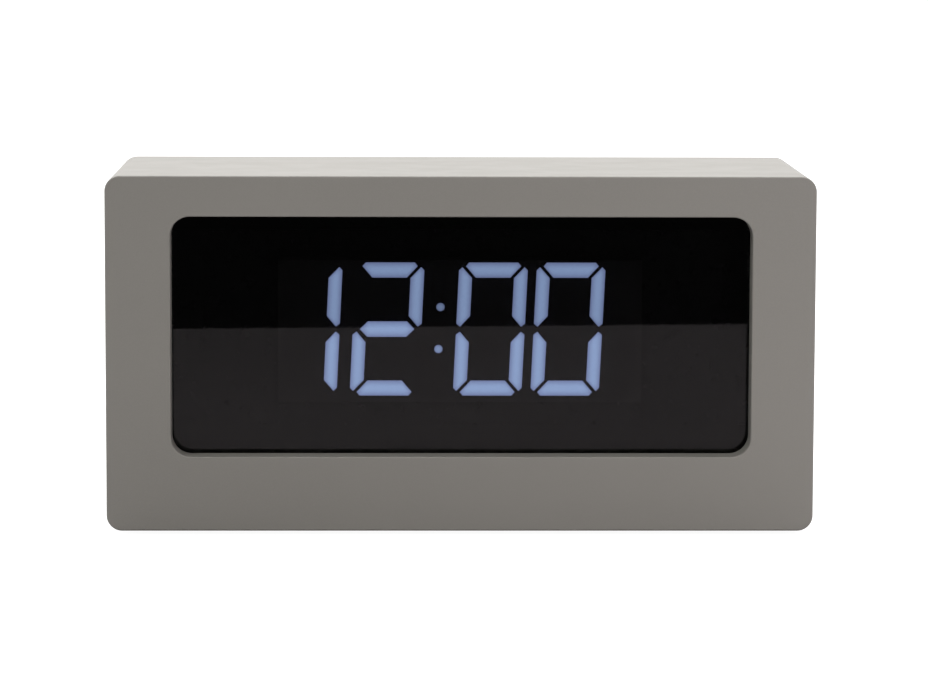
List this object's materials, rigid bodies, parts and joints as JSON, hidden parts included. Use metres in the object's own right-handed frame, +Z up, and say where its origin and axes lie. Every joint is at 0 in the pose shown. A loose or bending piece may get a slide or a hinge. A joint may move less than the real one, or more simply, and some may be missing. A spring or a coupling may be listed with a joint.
{
  "type": "digital table alarm clock",
  "caption": "Box-shaped table alarm clock with a recessed smoked window, a lit seven-segment display, rear buttons, an alarm switch and a sliding battery door.",
  "frame": {"origin": "on the table, under the middle of the case", "axes": "+X along the long side to the right as seen from the front, +Y to the back, +Z up; the display faces -Y"},
  "size_m": [0.16, 0.064, 0.0815],
  "materials": {
    "board_black": "black solder mask",
    "board_green": "green solder mask",
    "button_plastic": "matt, warm grey",
    "buzzer_plastic": "moulded",
    "capacitor_sleeve": "shrink sleeve",
    "case_finish": "soft-touch matt, warm grey",
    "cell_sleeve": "plain printed sleeve",
    "cell_steel": "nickel plated",
    "chip_epoxy": "moulded epoxy",
    "contact_plate": "nickel plated",
    "cover_plastic": "fine spark texture, charcoal",
    "crystal_can": "nickel can",
    "foam_tape": "black double-sided foam tape",
    "foot_rubber": "matt",
    "inlet_plastic": "moulded",
    "inlet_steel": "nickel plated",
    "knob_plastic": "matt, warm grey",
    "led_chips": "white LED package",
    "lit_segments": "lit cool white, diffusing, emissive",
    "plunger_plastic": "moulded",
    "reflector_plastic": "dark grey face",
    "resistor_ceramic": "thick-film chip",
    "ribbon_film": "flat flexible cable",
    "screw_steel": "black zinc",
    "smoked_acrylic": "polished, smoke tinted",
    "socket_plastic": "natural nylon",
    "spring_steel": "nickel plated",
    "switch_steel": "nickel plated",
    "tact_plastic": "moulded",
    "tinned_leads": "tin plated",
    "unlit_segments": "cast resin, unlit",
    "wire_black": "PVC insulation",
    "wire_red": "PVC insulation"
  },
  "bodies": {
    "case": {"battery_plates": "contact_plate", "battery_springs": "spring_steel", "buzzer": "buzzer_plastic", "case_shell": "case_finish", "cell_sleeves": "cell_sleeve", "cell_terminals": "cell_steel", "chip_leads": "tinned_leads", "clock_chip": "chip_epoxy", "colon_dots": "lit_segments", "cover_screws": "screw_steel", "crystal": "crystal_can", "digit_1_lit": "lit_segments", "digit_2_lit": "lit_segments", "digit_3_lit": "lit_segments", "digit_4_lit": "lit_segments", "display_housing": "reflector_plastic", "display_leds": "led_chips", "display_pcb": "board_black", "display_ribbon": "ribbon_film", "display_screws": "screw_steel", "electrolytic_capacitors": "capacitor_sleeve", "indicator_dots": "unlit_segments", "inlet_shell": "inlet_steel", "inlet_tongue": "inlet_plastic", "lens_tape": "foam_tape", "main_pcb": "board_green", "main_pcb_screws": "screw_steel", "rear_cover": "cover_plastic", "ribbon_sockets": "socket_plastic", "rubber_feet": "foot_rubber", "slide_switch_body": "switch_steel", "surface_resistors": "resistor_ceramic", "tact_switches": "tact_plastic", "unlit_segments": "unlit_segments", "window_lens": "smoked_acrylic", "wire_black": "wire_black", "wire_red": "wire_red"},
    "battery_door": {"battery_door": "cover_plastic"},
    "alarm_switch": {"slide_switch_knob": "knob_plastic"},
    "time_button": {"button_time": "button_plastic", "plunger_time": "plunger_plastic"},
    "alarm_button": {"button_alarm": "button_plastic", "plunger_alarm": "plunger_plastic"},
    "plus_button": {"button_plus": "button_plastic", "plunger_plus": "plunger_plastic"},
    "minus_button": {"button_minus": "button_plastic", "plunger_minus": "plunger_plastic"},
    "light_button": {"button_light": "button_plastic", "plunger_light": "plunger_plastic"}
  },
  "joints": [
    {"name": "press_time", "type": "slide", "parent": "case", "child": "time_button", "axis": [0, -1, 0], "range_m": [0, 0.0006], "stiffness_N_per_m": 800, "springref_m": -0.001},
    {"name": "press_alarm", "type": "slide", "parent": "case", "child": "alarm_button", "axis": [0, -1, 0], "range_m": [0, 0.0006], "stiffness_N_per_m": 800, "springref_m": -0.001},
    {"name": "press_plus", "type": "slide", "parent": "case", "child": "plus_button", "axis": [0, -1, 0], "range_m": [0, 0.0006], "stiffness_N_per_m": 800, "springref_m": -0.001},
    {"name": "press_minus", "type": "slide", "parent": "case", "child": "minus_button", "axis": [0, -1, 0], "range_m": [0, 0.0006], "stiffness_N_per_m": 800, "springref_m": -0.001},
    {"name": "press_light", "type": "slide", "parent": "case", "child": "light_button", "axis": [0, -1, 0], "range_m": [0, 0.0006], "stiffness_N_per_m": 800, "springref_m": -0.001},
    {"name": "slide_alarm_switch", "type": "slide", "parent": "case", "child": "alarm_switch", "axis": [1, 0, 0], "range_m": [0, 0.002]},
    {"name": "slide_battery_door", "type": "slide", "parent": "case", "child": "battery_door", "axis": [1, 0, 0], "range_m": [0, 0.0065]}
  ]
}
